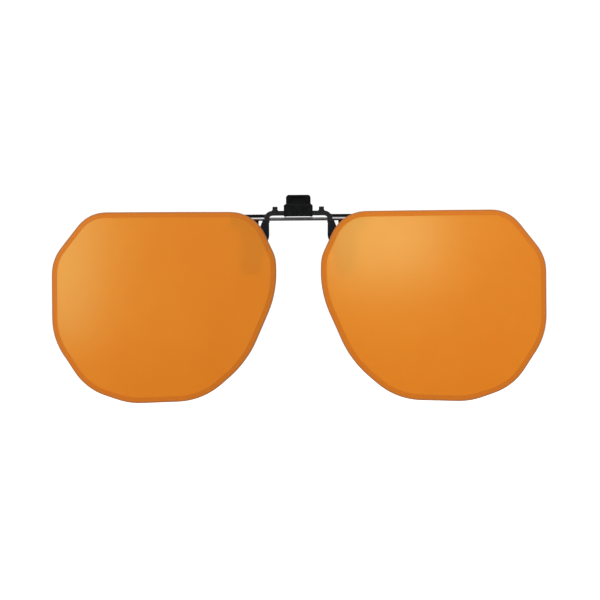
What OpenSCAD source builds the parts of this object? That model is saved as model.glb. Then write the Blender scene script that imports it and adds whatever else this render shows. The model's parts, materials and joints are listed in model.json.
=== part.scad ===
// Clip-on flip-up lens pair: two mirrored lenses on a wire bridge that turns in a spring clamp.
// The clamp grips a pair of spectacles beside the nose.
// Millimetres. X is across the face, Y points from the lenses towards the wearer, Z is up.
// The origin is on the flip axis, half way between the lenses.

/* [Lenses] */
// gap between the two lenses where they are closest
nose_gap = 11.6; // [10.6:0.2:16]
// width of one lens
lens_w = 59.4; // [50:0.2:64]
// height of one lens
lens_h = 50.2; // [44:0.2:56]
// thickness of the lens sheet
lens_t = 1.8; // [1.2:0.1:1.9]
// radius of the front surface of the lens
front_r = 140; // [120:5:200]
// height of the top edge of the lens above the flip axis
lens_top = 2.0; // [1.4:0.1:2.4]
// how far the front surface stands in front of the flip axis
lens_front = 6.4; // [6.2:0.1:8]

/* [Bridge wire] */
// diameter of the wire that joins the lenses
wire_d = 0.9; // [0.7:0.05:1]
// distance from the middle to the end that is bent forwards
wire_end_x = 15.6; // [15.5:0.1:17]
// radius of the bend at each end of the wire
wire_bend_r = 1.4; // [0.8:0.1:1.6]
// thickness of the bracket that carries the lens
bracket_t = 0.5; // [0.3:0.05:0.6]
// thickness of the glue pad between bracket and lens
glue_t = 0.15; // [0.1:0.05:0.3]

/* [Front clamp] */
// width of the spring housing
housing_w = 7.6; // [7.4:0.1:8.4]
// height of the top of the spring housing above the flip axis
housing_top = 3.75; // [3.6:0.05:3.85]
// diameter of the pin that the rear jaw turns on
pin_d = 1.0; // [0.8:0.05:1.1]
// height of that pin above the flip axis
pin_z = 2.0; // [1.95:0.05:2.1]
// depth of the arms and legs of the front jaw
arm_depth = 1.2; // [1:0.05:1.3]
// distance from the middle to each locating post
post_x = 6.1; // [5.6:0.1:6.2]
// diameter of a locating post
post_d = 1.35; // [1.1:0.05:1.5]
// height of the top of the posts above the flip axis
post_top = 3.2; // [2.9:0.1:3.6]

/* [Rear clamp] */
// thickness of the rear jaw sheet
sheet_t = 0.75; // [0.6:0.05:0.75]
// how far the legs of the rear jaw lean forwards, in degrees
rear_lean = 5.6; // [4:0.2:5.8]
// width of the thumb tab
tab_w = 6.5; // [6.3:0.1:7]
// height of the top of the thumb tab above the flip axis
tab_top = 6.4; // [6.2:0.1:8]

/* [Grip sleeves] */
// thickness of a rubber grip sleeve, both walls and the metal inside
sleeve_t = 1.5; // [1.3:0.05:1.5]

/* [Hidden] */
$fn = 96;
wire_r = wire_d / 2;
lens_x = nose_gap / 2 + lens_w / 2;
lens_z = lens_top - lens_h / 2;
// centre of the ball that the right lens is cut from
ball = [23, front_r - lens_front, -20];
back_r = front_r - lens_t;
// the lens outline as corners: x away from the nose, z up, radius of the corner; it is
// given for a lens of this width and height and stretched to the lens made
shape_w = 59.4;
shape_h = 50.2;
lens_shape = [
    [19.8, 25.2, 9.5], [-24.1, 24.9, 10], [-29.5, 13, 6], [-30, 4.1, 27],
    [-21.9, -14.4, 27.5], [-10.1, -24.5, 18.5], [9.3, -25.2, 18.5], [20.9, -21.3, 15.5],
    [29.7, -7.8, 17.5], [29.7, 12.8, 11]
];
lens_corners = [for (p = lens_shape) [
    lens_x + p[0] * lens_w / shape_w,
    lens_z + p[1] * lens_h / shape_h,
    p[2] * min(lens_w / shape_w, lens_h / shape_h)
]];
// lens bracket: a rounded leaf on the back of the lens, with a socket for the wire end
leaf_w = 4.4;
leaf_h = 4.0;
leaf_z0 = -2.9;
socket_r = 0.8;
socket_y0 = -2.5;
socket_y1 = -1.75;
wire_y0 = -2.55;
// front jaw
arm_y0 = -2.2;
arm_y1 = arm_y0 + arm_depth;
arm_z0 = 0.85;
arm_z1 = 2.1;
arch_x = 6.8;
arch_z = -0.05;
arch_r = arm_z0 - arch_z;
housing_y1 = 1.0;
roof_y1 = -0.5;
sleeve_top = -0.75;
post_foot = 0.3;
post_z0 = 1.15;
housing_z0 = 0.6;
cheek_t = 0.65;
core_y = -1.6;
core_t = 0.7;
stem_r = 0.45;
// friction bush and the eye round it
bush_r = 0.85;
bush_x0 = 7.6;
bush_x1 = 8.95;
flange_r = 0.95;
flange_t = 0.25;
eye_r = 1.3;
// running clearance of the wire in its bushes, and of the rear jaw on its pin
run_clear = 0.02;
pin_run = 0.03;
// rear jaw
rear_y0 = 1.35;
rear_mid = rear_y0 + sheet_t / 2;
ear_x0 = 2.15;
ear_x1 = 2.75;
ear_r = 1.0;
// thumb tab
tab_y0 = 0.75;
tab_y1 = 2.75;
tab_z0 = 3.55;
collar_t = 0.45;
grip_hw = 2.4;
grip_y0 = 2.45;
grip_z0 = 4.3;
// torsion springs
coil_r = 0.85;
coil_wire_r = 0.17;
coil_pitch = 0.42;
coil_turns = 3.5;

lens_colour = [0.90, 0.50, 0.15];
steel_colour = [0.80, 0.81, 0.83];
black_colour = [0.10, 0.11, 0.12];
rubber_colour = [0.10, 0.12, 0.17];
spring_colour = [0.62, 0.63, 0.66];
glue_colour = [0.93, 0.92, 0.88];
nylon_colour = [0.35, 0.35, 0.36];

// ---- helpers ----

// the left piece is the right piece seen in a mirror
module side(s) {
    if (s < 0) mirror([1, 0, 0]) children();
    else children();
}

// a front-view outline (x, z) given depth from y0 to y1
module plate(y0, y1) {
    translate([0, y1, 0]) rotate([90, 0, 0]) linear_extrude(y1 - y0) children();
}

module along_x(x0, x1, r, y = 0, z = 0) {
    translate([x0, y, z]) rotate([0, 90, 0]) cylinder(h = x1 - x0, r = r);
}

module block(x0, x1, y0, y1, z0, z1) {
    translate([x0, y0, z0]) cube([x1 - x0, y1 - y0, z1 - z0]);
}

function xz(p) = [p[0], p[1]];
function unit(v) = v / norm(v);
function turn(a, b, c) = (b[0] - a[0]) * (c[1] - b[1]) - (b[1] - a[1]) * (c[0] - b[0]);
// for corner i: [first tangent point, second tangent point, arc centre, radius, turn]
function corner(p, i) =
    let (
        n = len(p), a = xz(p[(i + n - 1) % n]), b = xz(p[i]), c = xz(p[(i + 1) % n]),
        u = unit(a - b), v = unit(c - b), h = acos(u * v) / 2, r = p[i][2]
    )
    r == 0 ? [b, b, b, 0, 0]
    : [b + u * r / tan(h), b + v * r / tan(h), b + unit(u + v) * r / sin(h), r,
        turn(a, b, c)];

// the part of the corner's circle that lies outside its chord, a hair large so that it
// crosses the straight sides cleanly
module cap(k) {
    r = k[3] + 0.0005;
    e = unit(k[1] - k[0]);
    d = [e[1], -e[0]] * (k[4] > 0 ? 1 : -1);
    w = min(0.3, r / 4);
    intersection() {
        translate(k[2]) circle(r = r, $fn = 180);
        polygon([k[0] - (e + d) * w, k[1] + (e - d) * w, k[1] + e * w + d * r,
            k[0] - e * w + d * r]);
    }
}

// an outline with every corner rounded by its own true arc; corners run anticlockwise
module rounded(p) {
    ks = [for (i = [0:len(p) - 1]) corner(p, i)];
    difference() {
        union() {
            polygon([for (k = ks) each (k[3] == 0 ? [k[0]] : [k[0], k[1]])]);
            for (k = ks) if (k[3] > 0 && k[4] > 0) cap(k);
        }
        for (k = ks) if (k[3] > 0 && k[4] < 0) cap(k);
    }
}

// the layer of the lens ball between two radii, within a front-view outline
module ball_layer(r0, r1) {
    difference() {
        intersection() {
            plate(-12, 6) children();
            translate(ball) sphere(r = r1, $fn = 480);
        }
        translate(ball) sphere(r = r0, $fn = 480);
    }
}

// ---- lens carrier ----

module lens(s) {
    color(lens_colour) side(s) ball_layer(back_r, front_r) rounded(lens_corners);
}

module bracket_outline() {
    x0 = wire_end_x - leaf_w / 2;
    x1 = wire_end_x + leaf_w / 2;
    z1 = leaf_z0 + leaf_h;
    rounded([[x0, leaf_z0, 0.9], [x1, leaf_z0, 0.9], [x1, z1, 0.9], [x0, z1, 0.9]]);
}

module glue_pad(s) {
    color(glue_colour) side(s) ball_layer(back_r - glue_t, back_r) bracket_outline();
}

module lens_bracket(s) {
    r1 = back_r - glue_t;
    color(steel_colour) side(s) difference() {
        union() {
            ball_layer(r1 - bracket_t, r1) bracket_outline();
            translate([wire_end_x, socket_y1, 0]) rotate([90, 0, 0])
                cylinder(h = socket_y1 - socket_y0, r = socket_r);
        }
        translate([wire_end_x, socket_y1 + 1, 0]) rotate([90, 0, 0]) cylinder(h = 5, r = wire_r);
    }
}

module bridge_wire() {
    run = wire_end_x - wire_bend_r;
    color(steel_colour) union() {
        along_x(-run, run, wire_r);
        for (s = [-1, 1]) side(s) {
            translate([run, -wire_bend_r, 0]) rotate_extrude(angle = 90)
                translate([wire_bend_r, 0]) circle(r = wire_r);
            translate([wire_end_x, -wire_bend_r, 0]) rotate([90, 0, 0])
                cylinder(h = -wire_y0 - wire_bend_r, r = wire_r);
        }
    }
}

// ---- front clamp ----

// the metal inside a front sleeve, from the front
module front_core_outline() {
    rounded([
        [8.1, -0.6, 0], [8.05, -4.6, 3], [8.7, -6.5, 3], [10.15, -10.6, 3],
        [10.2, -14.45, 1.7], [14, -14.45, 1.7], [13.9, -10.9, 3], [11.6, -6.8, 4],
        [10.1, -3.7, 3], [9.1, -0.6, 0]
    ]);
}

// the rubber of a front sleeve, from the front
module front_sleeve_outline() {
    rounded([
        [7.7, sleeve_top, 0], [7.65, -4.6, 3], [8.3, -6.6, 3], [9.7, -10.6, 3],
        [9.75, -14.9, 2.2], [14.45, -14.9, 2.2], [14.35, -10.8, 3], [12, -6.6, 4],
        [10.55, -3.6, 3], [9.55, sleeve_top, 0]
    ]);
}

module front_jaw_side() {
    // arm, arch and the upper part of the leg
    block(housing_w / 2 - 0.3, arch_x, arm_y0, arm_y1, arm_z0, arm_z1);
    translate([arch_x, arm_y1, arch_z]) rotate([90, 0, 0]) rotate_extrude(angle = 90)
        translate([arch_r, 0]) square([arm_z1 - arm_z0, arm_depth]);
    plate(arm_y0, arm_y1) polygon([
        [7.7, sleeve_top], [9.55, sleeve_top], [9.2, arch_z], [8.95, arch_z], [7.7, arch_z]
    ]);
    // foot of the locating post
    plate(arm_y0, arm_y1) polygon([
        [post_x - 0.95, arm_z1 - 0.1], [post_x + 0.95, arm_z1 - 0.1],
        [post_x + 0.7, arm_z1 + post_foot], [post_x - 0.7, arm_z1 + post_foot]
    ]);
    // flat leg inside the sleeve
    plate(core_y - core_t / 2, core_y + core_t / 2) front_core_outline();
    // eye that holds the friction bush
    along_x(bush_x0 + flange_t, bush_x1, eye_r);
}

module front_jaw() {
    hw = housing_w / 2;
    color(black_colour) difference() {
        union() {
            plate(arm_y0, housing_y1) rounded([
                [-hw, housing_z0, 0.3], [hw, housing_z0, 0.3],
                [hw, housing_top, 0.4], [-hw, housing_top, 0.4]
            ]);
            for (s = [-1, 1]) side(s) front_jaw_side();
        }
        // room for the springs, and for the lever behind them
        block(-hw + cheek_t, hw - cheek_t, arm_y0 + 0.8, 2, 0, housing_top - 0.4);
        block(-hw + cheek_t, hw - cheek_t, roof_y1, 2, 0, housing_top + 1);
        // the cheeks slope down behind the roof, clear of the thumb tab
        translate([-hw - 1, 0, 0]) rotate([90, 0, 90]) linear_extrude(2 * hw + 2) polygon([
            [roof_y1, housing_top], [housing_y1 + 0.1, housing_top - 1.1],
            [housing_y1 + 0.1, housing_top + 1], [roof_y1, housing_top + 1]
        ]);
        along_x(-hw - 1, hw + 1, pin_d / 2, 0, pin_z);
        for (s = [-1, 1]) side(s) {
            along_x(7, 10, bush_r);
            translate([post_x, core_y, post_z0]) cylinder(h = 3, r = stem_r);
        }
    }
}

module friction_bush(s) {
    color(nylon_colour) side(s) difference() {
        union() {
            along_x(bush_x0, bush_x1, bush_r);
            along_x(bush_x0, bush_x0 + flange_t, flange_r);
        }
        along_x(7, 10, wire_r + run_clear);
    }
}

module clamp_pin() {
    color(steel_colour) along_x(-housing_w / 2 + 0.1, housing_w / 2 - 0.1, pin_d / 2, 0, pin_z);
}

// centre line of the right spring: front leg, coil, rear leg
function coil_path() =
    let (n = 22 * coil_turns, x0 = 0.35 + coil_wire_r)
    concat(
        [[x0, -1.16, 3.1]],
        [for (i = [0:n])
            let (t = i / n, a = 180 + 360 * coil_turns * t)
            [x0 + coil_pitch * coil_turns * t, coil_r * cos(a), pin_z + coil_r * sin(a)]],
        [[x0 + coil_pitch * coil_turns, 1.14, 3.2]]
    );

// a round wire swept along a line that never runs along X
module swept_wire(p, r, n = 10) {
    m = len(p);
    rings = [for (i = [0:m - 1])
        let (
            t = unit(p[min(i + 1, m - 1)] - p[max(i - 1, 0)]),
            a = unit([1, 0, 0] - t * t[0]), b = cross(t, a)
        )
        for (j = [0:n - 1])
            let (q = 360 * j / n) p[i] + (a * cos(q) + b * sin(q)) * r];
    walls = [for (i = [0:m - 2], j = [0:n - 1])
        [i * n + j, (i + 1) * n + j, (i + 1) * n + (j + 1) % n, i * n + (j + 1) % n]];
    polyhedron(points = rings, faces = concat(
        walls,
        [[for (j = [0:n - 1]) j]],
        [[for (j = [n - 1:-1:0]) (m - 1) * n + j]]
    ));
}

module torsion_spring(s) {
    color(spring_colour) side(s) swept_wire(coil_path(), coil_wire_r);
}

module locating_post(s) {
    color(black_colour) side(s) translate([post_x, core_y, 0]) {
        seat = arm_z1 + post_foot;
        translate([0, 0, post_z0]) cylinder(h = seat - post_z0, r = stem_r);
        translate([0, 0, seat]) cylinder(h = post_top - 0.1 - seat, r = post_d / 2);
        translate([0, 0, post_top - 0.1])
            cylinder(h = 0.1, r1 = post_d / 2, r2 = post_d / 2 - 0.1);
    }
}

module front_sleeve(s) {
    color(rubber_colour) side(s) difference() {
        plate(core_y - sleeve_t / 2, core_y + sleeve_t / 2) front_sleeve_outline();
        plate(core_y - core_t / 2, core_y + core_t / 2) front_core_outline();
    }
}

// ---- rear clamp ----

// places a front-view outline in the leaning plane of the rear legs
module lean(t) {
    translate([0, rear_mid, 0]) rotate([-rear_lean, 0, 0]) plate(-t / 2, t / 2) children();
}

// the metal inside a rear sleeve, from the front
module rear_core_outline() {
    rounded([
        [10.5, 0.9, 0], [10.5, -1.6, 0.4], [10.9, -2.6, 0.4], [10.9, -14.4, 1.7],
        [14.7, -14.4, 1.7],
        [14.7, -2.6, 0.4], [15, -1.6, 0.4], [15, 0.6, 0.5], [14.6, 0.9, 0.3]
    ]);
}

module rear_sleeve_outline() {
    rounded([
        [10.5, -14.95, 2.2], [15.3, -14.95, 2.2], [15.3, -2.7, 0.5], [10.5, -2.7, 0.5]
    ]);
}

module rear_jaw() {
    color(black_colour) difference() {
        union() {
            // lever plate
            block(-ear_x1, ear_x1, rear_y0, rear_y0 + sheet_t, 0.95, tab_top - 0.4);
            for (s = [-1, 1]) side(s) {
                // ear around the pin
                along_x(ear_x0, ear_x1, ear_r, 0, pin_z);
                block(ear_x0, ear_x1, 0, rear_y0 + 0.1, pin_z - 0.7, pin_z + 0.7);
                // arm behind the front arm, then the bar above the wire
                plate(rear_y0, rear_y0 + sheet_t) rounded([
                    [0, 0.95, 0], [6.9, 0.95, 1.5], [9.3, 0.15, 1.5], [15, 0.15, 0.3],
                    [15, 1.3, 0.8], [8.8, 1.3, 2], [6.9, 2, 2], [0, 2, 0]
                ]);
                lean(sheet_t) rear_core_outline();
            }
        }
        along_x(-4, 4, pin_d / 2 + pin_run, 0, pin_z);
    }
}

module thumb_tab() {
    hw = tab_w / 2;
    rim = hw + 0.15;
    color(black_colour) difference() {
        union() {
            plate(tab_y0, tab_y1) rounded([
                [-hw, tab_z0, 0.2], [hw, tab_z0, 0.2], [hw, tab_top, 0.8], [-hw, tab_top, 0.8]
            ]);
            plate(tab_y0 - 0.1, tab_y1 + 0.1) rounded([
                [-rim, tab_z0, 0.1], [rim, tab_z0, 0.1],
                [rim, tab_z0 + collar_t, 0.1], [-rim, tab_z0 + collar_t, 0.1]
            ]);
        }
        // pocket for the lever plate, recess in front, seat for the grip behind
        block(-ear_x1, ear_x1, rear_y0, rear_y0 + sheet_t, 3, tab_top - 0.4);
        plate(0, tab_y0 + 0.3) rounded([
            [-1.7, tab_z0 + 0.95, 0.2], [1.7, tab_z0 + 0.95, 0.2],
            [1.7, tab_top - 0.6, 0.2], [-1.7, tab_top - 0.6, 0.2]
        ]);
        block(-grip_hw, grip_hw, grip_y0, tab_y1 + 0.25, grip_z0, tab_top - 0.4);
    }
}

module tab_grip() {
    z1 = tab_top - 0.4;
    y1 = tab_y1 + 0.05;
    ribs = 4;
    step = (z1 - grip_z0) / ribs;
    color(rubber_colour) union() {
        block(-grip_hw, grip_hw, grip_y0, y1, grip_z0, z1);
        for (i = [0:ribs - 1])
            along_x(-grip_hw + 0.2, grip_hw - 0.2, 0.14, y1, grip_z0 + step * (i + 0.5));
    }
}

module rear_sleeve(s) {
    color(rubber_colour) side(s) difference() {
        lean(sleeve_t + 0.05) rear_sleeve_outline();
        lean(sheet_t) rear_core_outline();
    }
}

// ---- one module for each node ----

module left_lens() lens(-1);
module right_lens() lens(1);
module left_lens_bracket() lens_bracket(-1);
module right_lens_bracket() lens_bracket(1);
module left_glue_pad() glue_pad(-1);
module right_glue_pad() glue_pad(1);
module left_friction_bush() friction_bush(-1);
module right_friction_bush() friction_bush(1);
module left_torsion_spring() torsion_spring(-1);
module right_torsion_spring() torsion_spring(1);
module left_locating_post() locating_post(-1);
module right_locating_post() locating_post(1);
module left_front_sleeve() front_sleeve(-1);
module right_front_sleeve() front_sleeve(1);
module left_rear_sleeve() rear_sleeve(-1);
module right_rear_sleeve() rear_sleeve(1);

left_lens();
right_lens();
bridge_wire();
left_lens_bracket();
right_lens_bracket();
left_glue_pad();
right_glue_pad();
front_jaw();
left_friction_bush();
right_friction_bush();
clamp_pin();
left_torsion_spring();
right_torsion_spring();
left_locating_post();
right_locating_post();
left_front_sleeve();
right_front_sleeve();
rear_jaw();
thumb_tab();
tab_grip();
left_rear_sleeve();
right_rear_sleeve();
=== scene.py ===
"""Clip-on flip-up lenses: the look of the part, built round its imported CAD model."""

import math
import json

import bpy
import bmesh
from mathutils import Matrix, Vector
from mathutils.bvhtree import BVHTree

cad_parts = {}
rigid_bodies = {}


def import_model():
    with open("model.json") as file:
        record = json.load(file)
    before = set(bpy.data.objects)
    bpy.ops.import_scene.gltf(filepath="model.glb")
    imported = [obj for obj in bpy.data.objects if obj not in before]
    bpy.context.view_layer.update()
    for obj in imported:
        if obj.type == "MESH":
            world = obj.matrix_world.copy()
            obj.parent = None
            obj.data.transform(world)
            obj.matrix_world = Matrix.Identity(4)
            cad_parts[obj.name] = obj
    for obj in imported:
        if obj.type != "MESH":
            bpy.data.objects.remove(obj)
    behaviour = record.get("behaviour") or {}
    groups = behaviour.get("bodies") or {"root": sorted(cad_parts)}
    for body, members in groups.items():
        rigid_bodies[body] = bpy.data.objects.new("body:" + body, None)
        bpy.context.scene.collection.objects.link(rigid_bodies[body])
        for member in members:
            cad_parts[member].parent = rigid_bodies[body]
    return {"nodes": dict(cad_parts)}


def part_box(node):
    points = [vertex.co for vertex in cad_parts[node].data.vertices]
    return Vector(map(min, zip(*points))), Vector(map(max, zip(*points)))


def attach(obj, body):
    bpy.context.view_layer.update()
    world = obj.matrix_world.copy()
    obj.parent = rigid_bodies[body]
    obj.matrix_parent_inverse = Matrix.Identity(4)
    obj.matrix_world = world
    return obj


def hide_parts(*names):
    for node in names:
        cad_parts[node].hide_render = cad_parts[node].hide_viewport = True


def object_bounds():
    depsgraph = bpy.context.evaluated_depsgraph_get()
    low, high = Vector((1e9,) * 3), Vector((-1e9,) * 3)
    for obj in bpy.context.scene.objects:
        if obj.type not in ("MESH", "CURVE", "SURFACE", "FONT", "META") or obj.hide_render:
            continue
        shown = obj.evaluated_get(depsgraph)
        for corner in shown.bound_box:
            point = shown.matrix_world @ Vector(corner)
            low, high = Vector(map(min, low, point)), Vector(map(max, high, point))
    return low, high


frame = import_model()
cad_low, cad_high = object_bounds()
NODES = frame["nodes"]
MM = 0.001
SIDES = {"left": -1, "right": 1}
# the mesh layer that marks the rounded corners, read by the plated materials
CORNER = "corner"


# ---- meshes: all shapes are worked out in millimetres and put in the frame in metres ----


def put(node, bm, materials, body):
    """Turns a bmesh in millimetres into the piece that stands for a CAD node on its body."""
    name = node + "_look"
    bmesh.ops.scale(bm, vec=(MM,) * 3, verts=bm.verts)
    bmesh.ops.recalc_face_normals(bm, faces=bm.faces)
    mesh = bpy.data.meshes.new(name)
    bm.to_mesh(mesh)
    bm.free()
    for face in mesh.polygons:
        face.use_smooth = True
    for material in materials:
        mesh.materials.append(material)
    piece = bpy.data.objects.new(name, mesh)
    bpy.context.scene.collection.objects.link(piece)
    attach(piece, body)
    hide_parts(node)
    return piece


def box_mm(node):
    """The two opposite corners of a CAD node's box, in millimetres."""
    low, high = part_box(node)
    return low / MM, high / MM


# ways to make a CAD mesh fit for rounding: points closer than MERGE are one point, faces
# within FLAT of each other are one face, and edges turning more than CORNER_TURN are rounded
MERGE = 0.0005
FLAT = math.radians(0.6)
CORNER_TURN = math.radians(40)
CUT_TOL = 0.0001


def cad_solid(node, sliver):
    """A CAD node's mesh in millimetres, with edges shorter than sliver closed up."""
    bm = bmesh.new()
    bm.from_mesh(NODES[node].data)
    bmesh.ops.scale(bm, vec=(1 / MM,) * 3, verts=bm.verts)
    bmesh.ops.remove_doubles(bm, verts=bm.verts, dist=MERGE)
    short = [e for e in bm.edges if e.calc_length() < sliver]
    bmesh.ops.collapse(bm, edges=short, uvs=False)
    bmesh.ops.dissolve_limit(bm, angle_limit=FLAT, verts=bm.verts, edges=bm.edges)
    return bm


def softened(node, radius, materials, body, segments=3, sliver=0.014, cuts=()):
    """The CAD node with every corner rounded, as plating, tumbling or moulding leaves it.

    cuts are the x positions, in millimetres, at which the long flat faces are divided.
    """
    bm = cad_solid(node, sliver)
    surface = BVHTree.FromBMesh(bm)
    corner_share = bm.faces.layers.float.new(CORNER)
    sharp = [
        e for e in bm.edges if len(e.link_faces) == 2 and e.calc_face_angle(0) > CORNER_TURN
    ]
    rounded = bmesh.ops.bevel(
        bm,
        geom=sharp,
        offset=radius,
        offset_type="OFFSET",
        segments=segments,
        profile=0.5,
        affect="EDGES",
        clamp_overlap=False,
    )
    for face in rounded["faces"]:
        face[corner_share] = 1
    # a corner that the rounding threw too far goes back to the surface
    for v in bm.verts:
        spot, _, _, gap = surface.find_nearest(v.co)
        if gap > radius / 2:
            v.co = spot
    for x in cuts:
        whole = bm.verts[:] + bm.edges[:] + bm.faces[:]
        bmesh.ops.bisect_plane(
            bm, geom=whole, dist=CUT_TOL, plane_co=(x, 0, 0), plane_no=(1, 0, 0)
        )
    piece = put(node, bm, materials, body)
    piece.modifiers.new("even shading", "WEIGHTED_NORMAL").keep_sharp = False
    return piece


# a wire's end face is this much smaller than the wire, and stands out by this share of the radius
WIRE_END_SIZE = 0.7
WIRE_END_OUT = 0.25


def swept(points, radius, sides):
    """A round wire along a line, with closed ends; sides is the number of flats round it."""
    bm = bmesh.new()
    rings = []
    across = Vector((0.3, 0.5, 1))
    last = len(points) - 1
    for i, p in enumerate(points):
        along = (points[min(i + 1, last)] - points[max(i - 1, 0)]).normalized()
        across = (across - along * across.dot(along)).normalized()
        other = along.cross(across)
        ring = []
        for j in range(sides):
            a = 2 * math.pi * j / sides
            ring.append(bm.verts.new(p + (across * math.cos(a) + other * math.sin(a)) * radius))
        rings.append(ring)
    for one, two in zip(rings, rings[1:]):
        for j in range(sides):
            k = (j + 1) % sides
            bm.faces.new((one[j], one[k], two[k], two[j]))
    for ring, step in ((rings[0], -1), (rings[-1], 1)):
        end = points[0] if step < 0 else points[-1]
        near = points[1] if step < 0 else points[-2]
        out = (end - near).normalized()
        tip = end + out * radius * WIRE_END_OUT
        small = [bm.verts.new(tip + (v.co - end) * WIRE_END_SIZE) for v in ring]
        for j in range(sides):
            k = (j + 1) % sides
            bm.faces.new((ring[j], ring[k], small[k], small[j]))
        bm.faces.new(small)
    return bm


# ---- lenses ----

LENS_THICK = 1.8
# both faces of a lens are parts of balls with one centre, as in the CAD
BALL_R = 140
BALL_X = 23
BALL_Z = -20
OUTLINE_POINTS = 240
OUTLINE_EASE = 12
INNER_RINGS = 22
# the ground bevel, its drop towards the edge, and the band beyond it that belongs to the edge
BEVEL_W = 1.45
BEVEL_DROP = 0.4
EDGE_W = 0.34


def hull(points):
    """The convex outline round flat points, anticlockwise."""
    points = sorted(set(points))

    def half(run):
        out = []
        for p in run:
            while len(out) > 1 and turn(out[-2], out[-1], p) <= 0:
                out.pop()
            out.append(p)
        return out[:-1]

    return half(points) + half(points[::-1])


def turn(a, b, c):
    """Above 0 where the way from a by b to c turns left."""
    return (b[0] - a[0]) * (c[1] - a[1]) - (b[1] - a[1]) * (c[0] - a[0])


def evenly(outline, count):
    """A closed outline as points at equal steps along it."""
    loop = [Vector(p) for p in outline] + [Vector(outline[0])]
    steps = [(b - a).length for a, b in zip(loop, loop[1:])]
    gap = sum(steps) / count
    out, i, gone = [], 0, 0.0
    for n in range(count):
        while gone + steps[i] < n * gap:
            gone += steps[i]
            i += 1
        out.append(loop[i].lerp(loop[i + 1], (n * gap - gone) / steps[i]))
    return out


def eased(points, rounds):
    """Smooths a closed line. Each pull inwards is undone by one outwards, so it keeps its size."""
    n = len(points)
    for _ in range(rounds):
        for pull in (0.5, -0.52):
            points = [
                p + (points[i - 1] / 2 + points[(i + 1) % n] / 2 - p) * pull
                for i, p in enumerate(points)
            ]
    return points


def lens_outline(node):
    """The lens outline seen from the front, with the inward direction at each point."""
    flat = {(round(v.co.x / MM, 3), round(v.co.z / MM, 3)) for v in NODES[node].data.vertices}
    line = eased(evenly(hull(flat), OUTLINE_POINTS), OUTLINE_EASE)
    n = len(line)
    inward = []
    for i in range(n):
        d = (line[(i + 1) % n] - line[i - 1]).normalized()
        inward.append(Vector((-d.y, d.x)))
    return line, inward


def lens(side):
    """A curved lens with a flat bevel ground round its front edge."""
    node = side + "_lens"
    line, inward = lens_outline(node)
    middle = sum(line, Vector((0, 0))) / len(line)
    front_y = box_mm(node)[0].y + BALL_R

    def surface(p, depth):
        """The point of the lens behind flat point p, at a depth behind the front face."""
        dx = p.x - BALL_X * SIDES[side]
        dz = p.y - BALL_Z
        r = BALL_R - depth
        return Vector((p.x, front_y - math.sqrt(r * r - dx * dx - dz * dz), p.y))

    # distance in from the edge, depth behind the front surface, from the front round to the back
    rim = [
        (4.0, 0),
        (2.2, 0),
        (BEVEL_W + 0.18, 0),
        (BEVEL_W + 0.05, 0.004),
        (BEVEL_W - 0.05, 0.03),
        (BEVEL_W * 0.6, BEVEL_DROP * 0.45),
        (EDGE_W, BEVEL_DROP),
        (0.1, BEVEL_DROP + 0.12),
        (0, BEVEL_DROP + 0.26),
        (0, LENS_THICK / 2),
        (0, LENS_THICK - 0.24),
        (0.04, LENS_THICK - 0.14),
        (0.12, LENS_THICK - 0.05),
        (0.24, LENS_THICK),
        (0.5, LENS_THICK),
        (2.2, LENS_THICK),
        (4.0, LENS_THICK),
    ]
    # the rows of rim where each material begins
    first_bevel, first_edge, first_back = 3, 6, 13
    bm = bmesh.new()
    n = len(line)
    rings = [
        [bm.verts.new(surface(p + inward[i] * d, depth)) for i, p in enumerate(line)]
        for d, depth in rim
    ]

    def join(one, two, which):
        for i in range(n):
            k = (i + 1) % n
            face = bm.faces.new((one[i], one[k], two[k], two[i]))
            face.material_index = which

    for r, (one, two) in enumerate(zip(rings, rings[1:])):
        which = 0
        if first_bevel <= r < first_edge:
            which = 1
        elif first_edge <= r < first_back:
            which = 2
        join(one, two, which)
    # both faces run in to the middle in rings
    for ring, depth in ((rings[0], 0), (rings[-1], LENS_THICK)):
        start = [p + inward[i] * rim[0][0] for i, p in enumerate(line)]
        before = ring
        for s in range(1, INNER_RINGS):
            share = s / INNER_RINGS
            now = [bm.verts.new(surface(p.lerp(middle, share), depth)) for p in start]
            join(before, now, 0)
            before = now
        centre = bm.verts.new(surface(middle, depth))
        for i in range(n):
            bm.faces.new((before[i], before[(i + 1) % n], centre))
    put(node, bm, [MIRROR, BEVEL, EDGE], "lens_carrier")


# ---- bridge wire, front jaw and springs ----

WIRE_BEND = 1.4
WIRE_SIDES = 36


def bridge_wire():
    """The straight wire between the lenses, with both ends bent forwards to the brackets."""
    low, high = box_mm("bridge_wire")
    radius = high.z
    end_x = high.x - radius
    end_y = low.y
    run = end_x - WIRE_BEND
    half = [Vector((run * i / 12, 0, 0)) for i in range(1, 12)]
    half += [
        Vector((run + WIRE_BEND * math.sin(a), -WIRE_BEND * (1 - math.cos(a)), 0))
        for a in (math.pi / 2 * i / 12 for i in range(13))
    ]
    half += [Vector((end_x, -WIRE_BEND + (end_y + WIRE_BEND) * i / 3, 0)) for i in range(1, 4)]
    # the rounded end cap is part of the length
    half[-1].y += radius * WIRE_END_OUT
    points = [Vector((-p.x, p.y, p.z)) for p in half[::-1]] + [Vector()] + half
    bm = swept(points, radius, WIRE_SIDES)
    put("bridge_wire", bm, [STEEL], "lens_carrier")


# how far the housing's side stands out past the end of the pin
HOUSING_WALL = 0.11


def front_jaw():
    """The arms and legs in black with lighter corners (worn plating and painted highlight), the
    spring housing between them in deeper black.
    """
    edge_x = box_mm("clamp_pin")[1].x + HOUSING_WALL
    looks = [BLACK, HOUSING]
    jaw = softened(
        "front_jaw", METAL_ROUND, looks, "front_clamp", cuts=(-edge_x, edge_x)
    )
    for face in jaw.data.polygons:
        if abs(face.center.x) < edge_x * MM:
            face.material_index = 1


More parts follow.
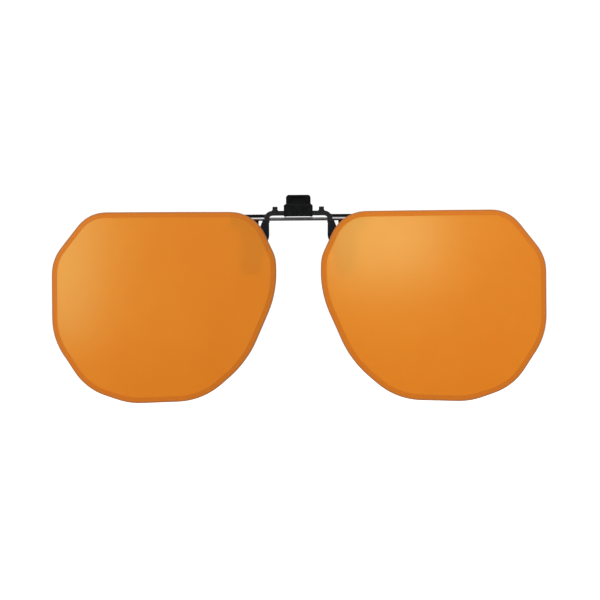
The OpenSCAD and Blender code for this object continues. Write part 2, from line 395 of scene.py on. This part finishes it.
COIL_R = 0.85
COIL_WIRE_R = 0.17
COIL_PITCH = 0.42
COIL_TURNS = 3.5
COIL_FIRST_X = 0.52
COIL_STEPS = 48
SPRING_SIDES = 14
# where the two legs end, as depth and height
FRONT_LEG_END = (-1.16, 3.1)
REAR_LEG_END = (1.14, 3.2)


def torsion_spring(side):
    """Front leg, coil round the pin and rear leg, as in the CAD."""
    pin_z = sum(v.z for v in box_mm("clamp_pin")) / 2
    start = Vector((COIL_FIRST_X, *FRONT_LEG_END))
    points = [start.lerp((COIL_FIRST_X, -COIL_R, pin_z), i / 7) for i in range(7)]
    for i in range(int(COIL_STEPS * COIL_TURNS) + 1):
        t = i / COIL_STEPS
        a = math.pi + 2 * math.pi * t
        x = COIL_FIRST_X + COIL_PITCH * t
        points.append(Vector((x, COIL_R * math.cos(a), pin_z + COIL_R * math.sin(a))))
    end = points[-1].copy()
    points += [end.lerp((end.x, *REAR_LEG_END), i / 7) for i in range(1, 8)]
    points = [Vector((p.x * SIDES[side], p.y, p.z)) for p in points]
    bm = swept(points, COIL_WIRE_R, SPRING_SIDES)
    put(side + "_torsion_spring", bm, [SPRING], "front_clamp")


# ---- materials ----


class Look:
    """A procedural material: a Principled shader and the nodes that feed it."""

    def __init__(self, name, **sockets):
        self.material = bpy.data.materials.new(name)
        self.material.use_nodes = True
        self.tree = self.material.node_tree
        self.shader = next(n for n in self.tree.nodes if n.type == "BSDF_PRINCIPLED")
        self.place = self.node("ShaderNodeTexCoord").outputs["Object"]
        for key, value in sockets.items():
            self.shader.inputs[key.replace("_", " ")].default_value = value

    def node(self, kind, **settings):
        """Adds a shader node with the given settings."""
        made = self.tree.nodes.new(kind)
        for key, value in settings.items():
            setattr(made, key, value)
        return made

    def link(self, source, target):
        self.tree.links.new(source, target)

    def noise(self, size_mm, detail=3.0, rough=0.55, stretch=(1, 1, 1)):
        """Cloudy noise whose features are about size_mm across."""
        spread = self.node("ShaderNodeMapping")
        spread.inputs["Scale"].default_value = [1 / s for s in stretch]
        self.link(self.place, spread.inputs["Vector"])
        made = self.node("ShaderNodeTexNoise")
        made.inputs["Scale"].default_value = 1 / (size_mm * MM)
        made.inputs["Detail"].default_value = detail
        made.inputs["Roughness"].default_value = rough
        self.link(spread.outputs[0], made.inputs["Vector"])
        return made.outputs["Fac"]

    def grains(self, size_mm):
        """Distance from the middles of round cells about size_mm across."""
        made = self.node("ShaderNodeTexVoronoi")
        made.inputs["Scale"].default_value = 1 / (size_mm * MM)
        self.link(self.place, made.inputs["Vector"])
        return made.outputs["Distance"]

    def corners(self):
        """1 on the rounded corners of a softened piece, 0 elsewhere."""
        return self.node("ShaderNodeAttribute", attribute_name=CORNER).outputs["Fac"]

    def spread(self, value, low, high, to_low, to_high):
        """Maps low..high to to_low..to_high, and holds it there beyond them."""
        made = self.node("ShaderNodeMapRange")
        for key, number in zip(
            ("From Min", "From Max", "To Min", "To Max"), (low, high, to_low, to_high)
        ):
            made.inputs[key].default_value = number
        self.link(value, made.inputs["Value"])
        return made.outputs[0]

    def times(self, a, b):
        made = self.node("ShaderNodeMath", operation="MULTIPLY")
        self.link(a, made.inputs[0])
        self.link(b, made.inputs[1])
        return made.outputs[0]

    def blend(self, share, a, b):
        """Colour a where share is 0 and b where it is 1; each is a colour or a socket."""
        made = self.node("ShaderNodeMix", data_type="RGBA")
        self.link(share, made.inputs["Factor"])
        for socket, colour in ((made.inputs[6], a), (made.inputs[7], b)):
            if isinstance(colour, tuple):
                socket.default_value = (*colour, 1)
            else:
                self.link(colour, socket)
        return made.outputs[2]

    def colour(self, source):
        self.link(source, self.shader.inputs["Base Color"])

    def roughness(self, source):
        self.link(source, self.shader.inputs["Roughness"])

    def bump(self, height, depth_mm, strength):
        """Adds a relief of depth_mm on top of any that is there already."""
        made = self.node("ShaderNodeBump")
        made.inputs["Distance"].default_value = depth_mm * MM
        made.inputs["Strength"].default_value = strength
        self.link(height, made.inputs["Height"])
        before = self.shader.inputs["Normal"].links
        if before:
            self.link(before[0].from_socket, made.inputs["Normal"])
        self.link(made.outputs[0], self.shader.inputs["Normal"])


def srgb(r, g, b):
    """A colour as seen on a screen, 0 to 255, as the shader's linear numbers."""
    shares = (r / 255, g / 255, b / 255)
    return tuple(c / 12.92 if c <= 0.04045 else ((c + 0.055) / 1.055) ** 2.4 for c in shares)


def mirror_look():
    """Orange mirror coating on tinted polycarbonate, under a thin hard clear coat."""
    look = Look(
        "lens_mirror",
        Transmission_Weight=0.26,
        IOR=1.58,
        Specular_IOR_Level=0.75,
        Specular_Tint=(0.32, 1.0, 0.08, 1),
        Coat_Weight=0.6,
        Coat_Roughness=0.3,
    )
    drift = look.spread(look.noise(18, detail=2), 0.35, 0.65, 0, 1)
    look.colour(look.blend(drift, (0.955, 0.236, 0.0055), (0.965, 0.248, 0.0065)))
    look.roughness(look.spread(look.noise(9, detail=5, rough=0.65), 0.3, 0.75, 0.34, 0.40))
    look.bump(look.noise(30, detail=1), 0.01, 0.4)
    return look.material


def bevel_look():
    """The ground bevel: the coating is gone and the tint shows darker."""
    look = Look(
        "lens_bevel",
        Transmission_Weight=0.15,
        IOR=1.58,
        Specular_IOR_Level=0.6,
        Specular_Tint=(0.2, 1.0, 0.3, 1),
        Coat_Weight=0.12,
        Coat_Roughness=0.4,
    )
    lines = look.noise(0.5, detail=4, rough=0.7)
    share = look.spread(lines, 0.3, 0.7, 0, 1)
    look.colour(look.blend(share, (0.74, 0.160, 0.0025), (0.83, 0.186, 0.004)))
    look.roughness(look.spread(lines, 0.3, 0.7, 0.4, 0.5))
    look.bump(look.noise(0.12, detail=2), 0.002, 0.4)
    return look.material


def edge_look():
    """The side wall of the lens, milled and left matt."""
    look = Look("lens_edge", Transmission_Weight=0.1, IOR=1.58, Specular_IOR_Level=0.25)
    cuts = look.noise(0.25, detail=3, stretch=(1, 6, 1))
    share = look.spread(cuts, 0.3, 0.7, 0, 1)
    look.colour(look.blend(share, (0.47, 0.150, 0.030), (0.56, 0.195, 0.046)))
    look.roughness(look.spread(cuts, 0.3, 0.7, 0.45, 0.6))
    look.bump(cuts, 0.01, 0.5)
    return look.material


def plated_look(name, base, worn_and_highlit, gloss):
    """Black plating on metal: fine orange peel, handled patches, and rounded corners painted
    lighter, partly as wear and partly as a painted highlight where light catches them.
    """
    look = Look(name, Specular_IOR_Level=gloss)
    handled = look.noise(1.6, detail=4, rough=0.6)
    # the rounded corners take a lighter colour in patches: worn plating, and also a painted
    # highlight standing in for the light on the rounded edges
    edge = look.times(look.corners(), look.spread(look.noise(0.7, detail=4), 0.5, 0.75, 0, 1))
    touched = tuple(min(1, c * 1.5 + 0.004) for c in base)
    patchy = look.blend(look.spread(handled, 0.3, 0.7, 0, 1), base, touched)
    look.colour(look.blend(edge, patchy, worn_and_highlit))
    look.roughness(look.spread(handled, 0.3, 0.7, 0.34, 0.47))
    look.bump(look.noise(0.07, detail=2), 0.006, 0.5)
    return look.material


def plastic_look():
    """Satin moulded plastic with a fine spark-eroded texture."""
    look = Look("tab_plastic", Specular_IOR_Level=0.16)
    handled = look.noise(2.2, detail=4, rough=0.6)
    share = look.spread(handled, 0.3, 0.7, 0, 1)
    look.colour(look.blend(share, srgb(7, 9, 9), srgb(15, 17, 17)))
    look.roughness(look.spread(handled, 0.3, 0.7, 0.34, 0.5))
    look.bump(look.noise(0.09, detail=3), 0.006, 0.6)
    return look.material


def rubber_look():
    """Matt blue-black rubber with a fine skin and a little dust."""
    look = Look("sleeve_rubber", Specular_IOR_Level=0.25)
    skin = look.noise(0.14, detail=3, rough=0.6)
    dust = look.spread(look.noise(1.3, detail=5, rough=0.7), 0.55, 0.8, 0, 0.35)
    look.colour(look.blend(dust, srgb(14, 20, 29), srgb(44, 51, 64)))
    look.roughness(look.spread(skin, 0.3, 0.7, 0.55, 0.72))
    look.bump(skin, 0.012, 0.6)
    look.bump(look.noise(2.5, detail=2), 0.03, 0.5)
    return look.material


def steel_look(name, bright, dull, rough, stretch):
    """Drawn steel: fine lines along the wire, with slight tarnish."""
    look = Look(name, Metallic=1.0)
    lines = look.noise(0.12, detail=3, rough=0.6, stretch=stretch)
    tarnish = look.spread(look.noise(1.8, detail=4), 0.4, 0.75, 0, 0.6)
    look.colour(look.blend(tarnish, bright, dull))
    look.roughness(look.spread(lines, 0.3, 0.7, rough, rough + 0.11))
    look.bump(lines, 0.004, 0.4)
    return look.material


def nylon_look():
    """Grey moulded nylon, faintly cloudy."""
    look = Look("bush_nylon", Specular_IOR_Level=0.4, Subsurface_Weight=0.05)
    cloud = look.noise(0.6, detail=4)
    share = look.spread(cloud, 0.3, 0.7, 0, 1)
    look.colour(look.blend(share, srgb(84, 84, 86), srgb(104, 104, 105)))
    look.roughness(look.spread(cloud, 0.3, 0.7, 0.4, 0.55))
    look.bump(look.noise(0.15, detail=2), 0.004, 0.5)
    return look.material


def glue_look():
    """Cured clear adhesive, a little cloudy, with small bubbles."""
    look = Look("clear_glue", Transmission_Weight=0.55, IOR=1.48)
    cloud = look.noise(0.7, detail=4)
    bubbles = look.spread(look.grains(0.4), 0.05, 0.16, 1, 0)
    share = look.spread(cloud, 0.3, 0.7, 0, 1)
    haze = look.blend(share, srgb(222, 218, 206), srgb(238, 235, 226))
    look.colour(look.blend(bubbles, haze, srgb(250, 249, 244)))
    look.roughness(look.spread(cloud, 0.3, 0.7, 0.3, 0.42))
    look.bump(look.grains(0.4), 0.01, 0.4)
    return look.material


MIRROR = mirror_look()
BEVEL = bevel_look()
EDGE = edge_look()
# the second colour is the lighter corner colour: worn plating and a painted highlight on the
# rounded edges in one
BLACK = plated_look("clamp_black", srgb(17, 18, 19), srgb(90, 91, 92), 0.45)
HOUSING = plated_look("housing_black", srgb(7, 9, 9), srgb(70, 71, 72), 0.15)
PLASTIC = plastic_look()
RUBBER = rubber_look()
STEEL = steel_look("wire_steel", srgb(212, 213, 216), srgb(166, 164, 160), 0.14, (12, 1, 1))
PIN = steel_look("pin_steel", srgb(190, 191, 194), srgb(140, 138, 134), 0.3, (1, 6, 6))
SPRING = steel_look("spring_steel", srgb(176, 178, 182), srgb(120, 116, 110), 0.3, (1, 3, 3))
NYLON = nylon_look()
GLUE = glue_look()


# ---- the pieces ----

# how far each kind of corner is rounded, in millimetres
METAL_ROUND = 0.08
MOULDED_ROUND = 0.04
SLEEVE_ROUND = 0.32

bridge_wire()
for side in SIDES:
    lens(side)
    torsion_spring(side)
    softened(side + "_lens_bracket", METAL_ROUND, [STEEL], "lens_carrier")
    softened(side + "_glue_pad", MOULDED_ROUND, [GLUE], "lens_carrier")
    softened(side + "_friction_bush", MOULDED_ROUND, [NYLON], "front_clamp")
    softened(side + "_locating_post", METAL_ROUND, [BLACK], "front_clamp")
    for end, body in (("_front_sleeve", "front_clamp"), ("_rear_sleeve", "rear_clamp")):
        softened(side + end, SLEEVE_ROUND, [RUBBER], body, segments=4)
front_jaw()
softened("clamp_pin", 0.06, [PIN], "front_clamp")
# the cuts keep the crowded corners at the bar's ends apart from its long flat faces
softened(
    "rear_jaw",
    METAL_ROUND,
    [HOUSING],
    "rear_clamp",
    sliver=0.009,
    cuts=(-10.3, -2.4, 2.4, 10.3),
)
softened("thumb_tab", 0.12, [PLASTIC], "rear_clamp")
softened("tab_grip", 0.03, [RUBBER], "rear_clamp")


# ---- floor, lights and camera ----

FLOOR_DROP = 0.055
FLOOR_SIZE = 6
# the width seen at the part's depth, and the way the camera is turned, rolled and aimed
VIEW_W = 0.1576
VIEW_TURN = math.radians(0.6)
VIEW_ROLL = math.radians(0.4)
VIEW_X = 0.0003
VIEW_Z = -0.02135
FOCAL = 150
SENSOR = 36
# how bright the room is: as it lights the part, and as it is seen directly or through the lenses
FILL = 0.83
SEEN = 1.05


def floor():
    """A pale floor that glows a little and throws no colour on the part."""
    bm = bmesh.new()
    bmesh.ops.create_grid(bm, x_segments=8, y_segments=8, size=FLOOR_SIZE / 2)
    mesh = bpy.data.meshes.new("floor")
    bm.to_mesh(mesh)
    bm.free()
    made = bpy.data.objects.new("floor", mesh)
    made.location.z = cad_low.z - FLOOR_DROP
    bpy.context.scene.collection.objects.link(made)
    look = Look(
        "floor_pale",
        Base_Color=(0.9, 0.9, 0.9, 1),
        Roughness=0.9,
        Specular_IOR_Level=0.1,
        Emission_Color=(1, 1, 1, 1),
        Emission_Strength=0.55,
    )
    mesh.materials.append(look.material)
    made.visible_glossy = False
    made.visible_diffuse = False


def studio():
    """A white room. Gloss sees it dimmer, and darker towards the ground, for contrast."""
    world = bpy.data.worlds.new("studio")
    bpy.context.scene.world = world
    world.use_nodes = True
    tree = world.node_tree
    back = tree.nodes["Background"]
    back.inputs["Color"].default_value = (1, 1, 1, 1)
    rays = tree.nodes.new("ShaderNodeLightPath")
    place = tree.nodes.new("ShaderNodeTexCoord")
    height = tree.nodes.new("ShaderNodeSeparateXYZ")
    tree.links.new(place.outputs["Generated"], height.inputs[0])
    gloss = tree.nodes.new("ShaderNodeMapRange")
    for key, number in zip(("From Min", "From Max", "To Min", "To Max"), (-0.4, 0.6, 0.06, 0.7)):
        gloss.inputs[key].default_value = number
    tree.links.new(height.outputs["Z"], gloss.inputs["Value"])
    level = FILL
    seen_by = (
        ("Is Glossy Ray", gloss.outputs[0]),
        ("Is Transmission Ray", SEEN),
        ("Is Camera Ray", SEEN),
    )
    for ray, seen in seen_by:
        pick = tree.nodes.new("ShaderNodeMix")
        tree.links.new(rays.outputs[ray], pick.inputs["Factor"])
        for socket, value in ((pick.inputs["A"], level), (pick.inputs["B"], seen)):
            if isinstance(value, float):
                socket.default_value = value
            else:
                tree.links.new(value, socket)
        level = pick.outputs["Result"]
    tree.links.new(level, back.inputs["Strength"])


def softbox(name, place, aim, size, power, only):
    """A soft rectangular light that reaches only the given pieces."""
    light = bpy.data.lights.new(name, "AREA")
    light.shape = "RECTANGLE"
    light.size, light.size_y = size
    light.energy = power
    made = bpy.data.objects.new(name, light)
    bpy.context.scene.collection.objects.link(made)
    made.location = Vector(place)
    made.rotation_euler = (Vector(place) - Vector(aim)).to_track_quat("Z", "Y").to_euler()
    receivers = bpy.data.collections.new(name + "_receivers")
    for piece in only:
        receivers.objects.link(piece)
    made.light_linking.receiver_collection = receivers


def camera():
    """A long lens straight in front of the part, at the height of the lenses."""
    data = bpy.data.cameras.new("camera")
    data.lens, data.sensor_width = FOCAL, SENSOR
    data.clip_start, data.clip_end = 0.01, 20
    made = bpy.data.objects.new("camera", data)
    bpy.context.scene.collection.objects.link(made)
    aim = Vector((VIEW_X, (cad_low.y + cad_high.y) / 2, VIEW_Z))
    back = Vector((math.sin(VIEW_TURN), -math.cos(VIEW_TURN), 0))
    made.location = aim + back * (VIEW_W * FOCAL / SENSOR)
    made.rotation_euler = back.to_track_quat("Z", "Y").to_euler()
    made.rotation_euler.rotate_axis("Z", -VIEW_ROLL)
    bpy.context.scene.camera = made


floor()
studio()
left, right = (bpy.data.objects[side + "_lens_look"] for side in SIDES)
others = [
    o for o in bpy.data.objects if o.name.endswith("_look") and o not in (left, right)
]
softbox("box_left", (-0.375, -0.375, 0.055), (-0.05, 0, -0.01), (0.17, 0.34), 0.55, [left])
softbox("box_right", (0.03, -0.483, 0.12), (0.025, 0, -0.005), (0.26, 0.2), 0.58, [right])
softbox("box_top", (-0.25, -0.4, 0.55), (0, 0, 0), (0.4, 0.4), 1.4, others)
camera()
bpy.context.scene.view_settings.view_transform = "Standard"
